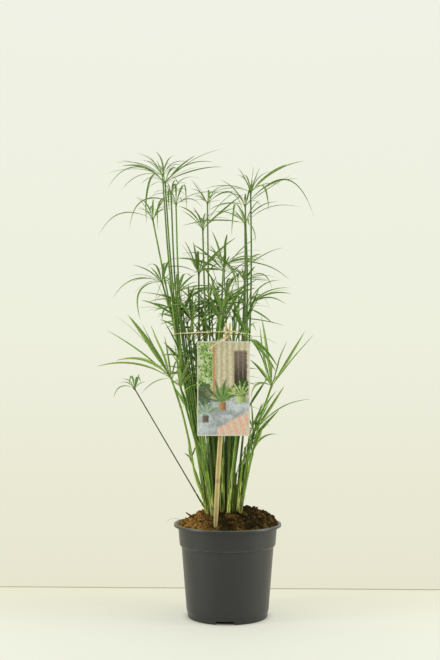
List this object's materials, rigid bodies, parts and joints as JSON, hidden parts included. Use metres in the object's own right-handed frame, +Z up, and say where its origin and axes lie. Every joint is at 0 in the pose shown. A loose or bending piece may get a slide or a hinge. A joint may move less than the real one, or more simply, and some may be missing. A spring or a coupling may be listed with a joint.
{
  "type": "potted papyrus plant",
  "caption": "Papyrus plant with tall tied stems and whorled leaf crowns, in a round tapered nursery pot with soil, bamboo cane and card tag.",
  "frame": {"origin": "middle of the pot's underside, on the surface it stands on", "axes": "+Z up, front -Y: the card tag faces -Y and the plant's right side is +X"},
  "size_m": [0.3847, 0.2423, 0.8475],
  "materials": {
    "pot": "satin dark grey moulded plastic",
    "soil": "moist crumbly peat",
    "stem": "ribbed green stem, yellow-green at its foot",
    "leaf": "satin green blade with browned tip",
    "shoot": "fresh light green sheath and blade",
    "cane": "split bamboo",
    "card": "printed satin card",
    "raffia": "dry fibrous raffia"
  },
  "bodies": {
    "root": {"pot": "pot", "soil": "soil", "stake": "cane", "tag": "card", "tag_loop": "raffia", "raffia_tie": "raffia", "stem_01": "stem", "stem_02": "stem", "stem_03": "stem", "stem_04": "stem", "stem_05": "stem", "stem_06": "stem", "stem_07": "stem", "stem_08": "stem", "stem_09": "stem", "stem_10": "stem", "stem_11": "stem", "stem_12": "stem", "stem_13": "stem", "stem_14": "stem", "stem_15": "stem", "stem_16": "stem", "stem_17": "stem", "stem_18": "stem", "stem_19": "stem", "stem_20": "stem", "stem_21": "stem", "stem_22": "stem", "stem_23": "stem", "stem_24": "stem", "stem_25": "stem", "leaf_crown_01": "leaf", "leaf_crown_02": "leaf", "leaf_crown_03": "leaf", "leaf_crown_04": "leaf", "leaf_crown_05": "leaf", "leaf_crown_06": "leaf", "leaf_crown_07": "leaf", "leaf_crown_08": "leaf", "leaf_crown_09": "leaf", "leaf_crown_10": "leaf", "leaf_crown_11": "leaf", "leaf_crown_12": "leaf", "leaf_crown_13": "leaf", "leaf_crown_14": "leaf", "leaf_crown_15": "leaf", "leaf_crown_16": "leaf", "leaf_crown_17": "leaf", "leaf_crown_18": "leaf", "leaf_crown_19": "leaf", "leaf_crown_20": "leaf", "leaf_crown_21": "leaf", "leaf_crown_22": "leaf", "leaf_crown_23": "leaf", "leaf_crown_24": "leaf", "leaf_crown_25": "leaf", "shoot_01": "shoot", "shoot_02": "shoot", "shoot_03": "shoot"}
  },
  "joints": []
}
